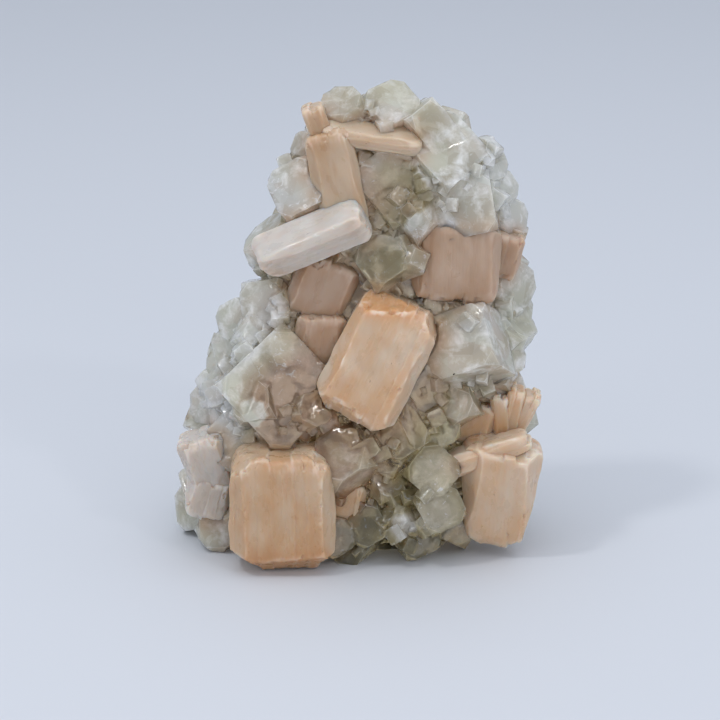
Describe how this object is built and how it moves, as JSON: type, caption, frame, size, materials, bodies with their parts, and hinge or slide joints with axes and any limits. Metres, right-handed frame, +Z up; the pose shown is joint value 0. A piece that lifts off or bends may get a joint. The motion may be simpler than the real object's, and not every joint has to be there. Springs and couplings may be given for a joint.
{
  "type": "stilbite and apophyllite mineral specimen",
  "caption": "Free-standing mineral specimen: a steep cluster of glassy blocky apophyllite crystals with peach stilbite sheaves set into its face, cut flat to rest on its base.",
  "frame": {"origin": "on the ground plane, under the middle of the specimen's box", "axes": "+Z up along the specimen's height, -Y towards the crystal face, +X to the right of someone who looks at that face"},
  "size_m": [0.0712, 0.0456, 0.09],
  "materials": {
    "apophyllite": "glassy to pearly crystal faces, cloudy inside",
    "stilbite": "pearly, finely striated along the sheaves",
    "white_stilbite": "pearly white to pale peach, finely striated",
    "pink_stilbite": "dull pearly, pinkish brown"
  },
  "bodies": {
    "root": {"apophyllite": "apophyllite", "stilbite_center": "stilbite", "stilbite_lower_left": "stilbite", "stilbite_lower_right": "stilbite", "stilbite_white_blade": "white_stilbite", "stilbite_upper_left": "stilbite", "stilbite_right": "pink_stilbite", "stilbite_mid_left": "pink_stilbite", "stilbite_left_edge": "white_stilbite"}
  },
  "joints": []
}
